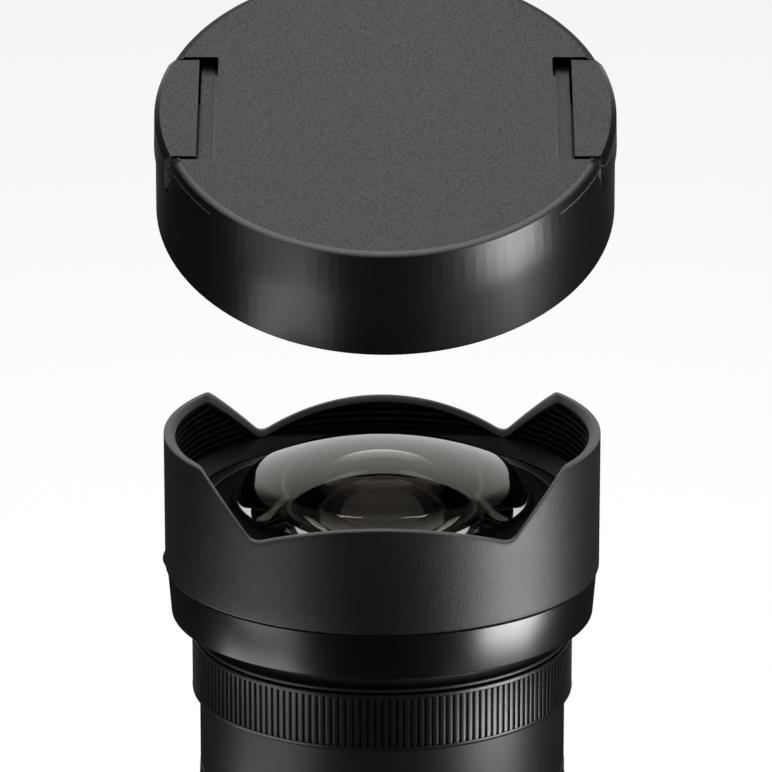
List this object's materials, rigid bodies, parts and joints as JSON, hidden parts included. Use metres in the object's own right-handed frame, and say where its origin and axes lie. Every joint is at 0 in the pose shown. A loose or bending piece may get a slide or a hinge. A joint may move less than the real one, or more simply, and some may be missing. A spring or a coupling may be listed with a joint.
{
  "type": "wide-angle zoom lens",
  "caption": "Wide-angle zoom lens with a built-in petal hood, a bulging front element, ribbed zoom and focus rings, a bayonet mount and a slip-on pinch cap held above it.",
  "frame": {"origin": "centre of the bayonet's flange face, on the optical axis", "axes": "+Z along the optical axis towards the subject; the camera's top is towards -X, its long side along Y, so the hood's long petals stand at +X and -X; the viewer's left hand controls are at +Y"},
  "size_m": [0.0922, 0.1052, 0.2053],
  "materials": {
    "hood_plastic": "fine matt crinkle finish, black",
    "band_paint": "satin black paint on aluminium",
    "barrel_paint": "fine matt black paint on aluminium",
    "black_anodised": "dull black anodised",
    "ring_paint": "satin black anodised, ribbed",
    "grip_rubber": "ribbed black rubber",
    "seal_rubber": "smooth black rubber",
    "mount_chrome": "satin chrome on brass",
    "steel": "plain steel",
    "black_steel": "blackened steel sheet",
    "contact_gold": "gold flash",
    "copper": "enamelled copper wire",
    "black_plastic": "moulded, dull black",
    "gloss_black_plastic": "moulded, smooth black",
    "board": "green solder mask",
    "coated_glass": "polished and coated",
    "cap_plastic": "fine leather grain on the face, smooth wall"
  },
  "bodies": {
    "barrel": {"petal_hood": "hood_plastic", "trim_band": "band_paint", "main_barrel": "barrel_paint", "hood_screws": "steel", "guide_barrel": "black_anodised", "control_cover": "barrel_paint", "control_board": "board", "focus_sensor": "black_plastic", "rear_barrel": "barrel_paint", "mount_plate": "mount_chrome", "mount_screws": "steel", "mount_gasket": "seal_rubber", "rear_baffle": "black_plastic", "contact_block": "black_plastic", "contact_pins": "contact_gold", "rear_cell": "black_anodised", "rear_element": "coated_glass", "relay_element": "coated_glass", "circuit_board": "board", "iris_housing": "black_anodised", "iris_cover": "black_plastic", "iris_motor": "steel", "guide_rods": "steel", "motor_yoke": "steel", "motor_magnet": "steel"},
    "zoom_ring": {"zoom_ring": "barrel_paint", "zoom_grip": "grip_rubber", "zoom_keys": "steel", "cam_barrel": "black_anodised"},
    "front_group": {"front_cell": "black_anodised", "front_element": "coated_glass", "second_element": "coated_glass", "third_element": "coated_glass", "front_mask": "black_plastic", "front_followers": "steel"},
    "variator": {"variator_cell": "black_anodised", "variator_front_element": "coated_glass", "variator_rear_element": "coated_glass", "variator_followers": "steel"},
    "focus_ring": {"focus_ring": "ring_paint", "focus_comb": "steel"},
    "focus_group": {"focus_cell": "black_plastic", "focus_element": "coated_glass", "focus_coil": "copper"},
    "iris_ring": {"iris_drive_ring": "black_plastic"},
    "hold_button": {"hold_button": "gloss_black_plastic"},
    "mode_switch": {"mode_switch": "gloss_black_plastic"},
    "front_cap": {"cap_shell": "cap_plastic", "cap_inner_plate": "black_plastic", "cap_screws": "steel", "cap_springs": "steel"},
    "pinch_tab_right": {"pinch_tab_right": "cap_plastic"},
    "pinch_tab_left": {"pinch_tab_left": "cap_plastic"},
    "iris_blade_1": {"iris_blade_1": "black_steel"},
    "iris_blade_2": {"iris_blade_2": "black_steel"},
    "iris_blade_3": {"iris_blade_3": "black_steel"},
    "iris_blade_4": {"iris_blade_4": "black_steel"},
    "iris_blade_5": {"iris_blade_5": "black_steel"},
    "iris_blade_6": {"iris_blade_6": "black_steel"},
    "iris_blade_7": {"iris_blade_7": "black_steel"}
  },
  "joints": [
    {"name": "zoom_turn", "type": "hinge", "parent": "barrel", "child": "zoom_ring", "pos_m": [0, 0, 0], "axis": [0, 0, 1], "range_deg": [0, 60]},
    {"name": "front_group_slide", "type": "slide", "parent": "barrel", "child": "front_group", "axis": [0, 0, 1], "range_m": [-0.005, 0]},
    {"name": "variator_slide", "type": "slide", "parent": "barrel", "child": "variator", "axis": [0, 0, 1], "range_m": [0, 0.012]},
    {"name": "focus_turn", "type": "hinge", "parent": "barrel", "child": "focus_ring", "pos_m": [0, 0, 0], "axis": [0, 0, 1], "continuous": true},
    {"name": "focus_group_slide", "type": "slide", "parent": "barrel", "child": "focus_group", "axis": [0, 0, 1], "range_m": [0, 0.004]},
    {"name": "iris_turn", "type": "hinge", "parent": "barrel", "child": "iris_ring", "pos_m": [0, 0, 0], "axis": [0, 0, 1], "range_deg": [0, 35]},
    {"name": "mode_slide", "type": "slide", "parent": "barrel", "child": "mode_switch", "axis": [0, 0, 1], "range_m": [0, 0.004]},
    {"name": "hold_press", "type": "slide", "parent": "barrel", "child": "hold_button", "axis": [0, -1, 0], "range_m": [0, 0.0008], "stiffness_N_per_m": 400, "springref_m": -0.0015},
    {"name": "cap_lift", "type": "slide", "parent": "barrel", "child": "front_cap", "axis": [0, -0.4179, 0.9085], "range_m": [0, 0.04]},
    {"name": "pinch_right", "type": "slide", "parent": "front_cap", "child": "pinch_tab_right", "axis": [-1, 0, 0], "range_m": [0, 0.003], "stiffness_N_per_m": 400, "springref_m": -0.004},
    {"name": "pinch_left", "type": "slide", "parent": "front_cap", "child": "pinch_tab_left", "axis": [1, 0, 0], "range_m": [0, 0.003], "stiffness_N_per_m": 400, "springref_m": -0.004},
    {"name": "iris_blade_1_turn", "type": "hinge", "parent": "barrel", "child": "iris_blade_1", "pos_m": [0.02, 0, 0.039], "axis": [0, 0, 1], "range_deg": [0, 26]},
    {"name": "iris_blade_2_turn", "type": "hinge", "parent": "barrel", "child": "iris_blade_2", "pos_m": [0.01247, 0.01564, 0.039], "axis": [0, 0, 1], "range_deg": [0, 26]},
    {"name": "iris_blade_3_turn", "type": "hinge", "parent": "barrel", "child": "iris_blade_3", "pos_m": [-0.00445, 0.0195, 0.039], "axis": [0, 0, 1], "range_deg": [0, 26]},
    {"name": "iris_blade_4_turn", "type": "hinge", "parent": "barrel", "child": "iris_blade_4", "pos_m": [-0.01802, 0.00868, 0.039], "axis": [0, 0, 1], "range_deg": [0, 26]},
    {"name": "iris_blade_5_turn", "type": "hinge", "parent": "barrel", "child": "iris_blade_5", "pos_m": [-0.01802, -0.00868, 0.039], "axis": [0, 0, 1], "range_deg": [0, 26]},
    {"name": "iris_blade_6_turn", "type": "hinge", "parent": "barrel", "child": "iris_blade_6", "pos_m": [-0.00445, -0.0195, 0.039], "axis": [0, 0, 1], "range_deg": [0, 26]},
    {"name": "iris_blade_7_turn", "type": "hinge", "parent": "barrel", "child": "iris_blade_7", "pos_m": [0.01247, -0.01564, 0.039], "axis": [0, 0, 1], "range_deg": [0, 26]}
  ],
  "couplings": [
    {"joint": "front_group_slide", "follows": "zoom_turn", "m_per_rad": -0.0047746},
    {"joint": "variator_slide", "follows": "zoom_turn", "m_per_rad": 0.011459},
    {"joint": "iris_blade_1_turn", "follows": "iris_turn", "ratio": 0.74286},
    {"joint": "iris_blade_2_turn", "follows": "iris_turn", "ratio": 0.74286},
    {"joint": "iris_blade_3_turn", "follows": "iris_turn", "ratio": 0.74286},
    {"joint": "iris_blade_4_turn", "follows": "iris_turn", "ratio": 0.74286},
    {"joint": "iris_blade_5_turn", "follows": "iris_turn", "ratio": 0.74286},
    {"joint": "iris_blade_6_turn", "follows": "iris_turn", "ratio": 0.74286},
    {"joint": "iris_blade_7_turn", "follows": "iris_turn", "ratio": 0.74286}
  ]
}
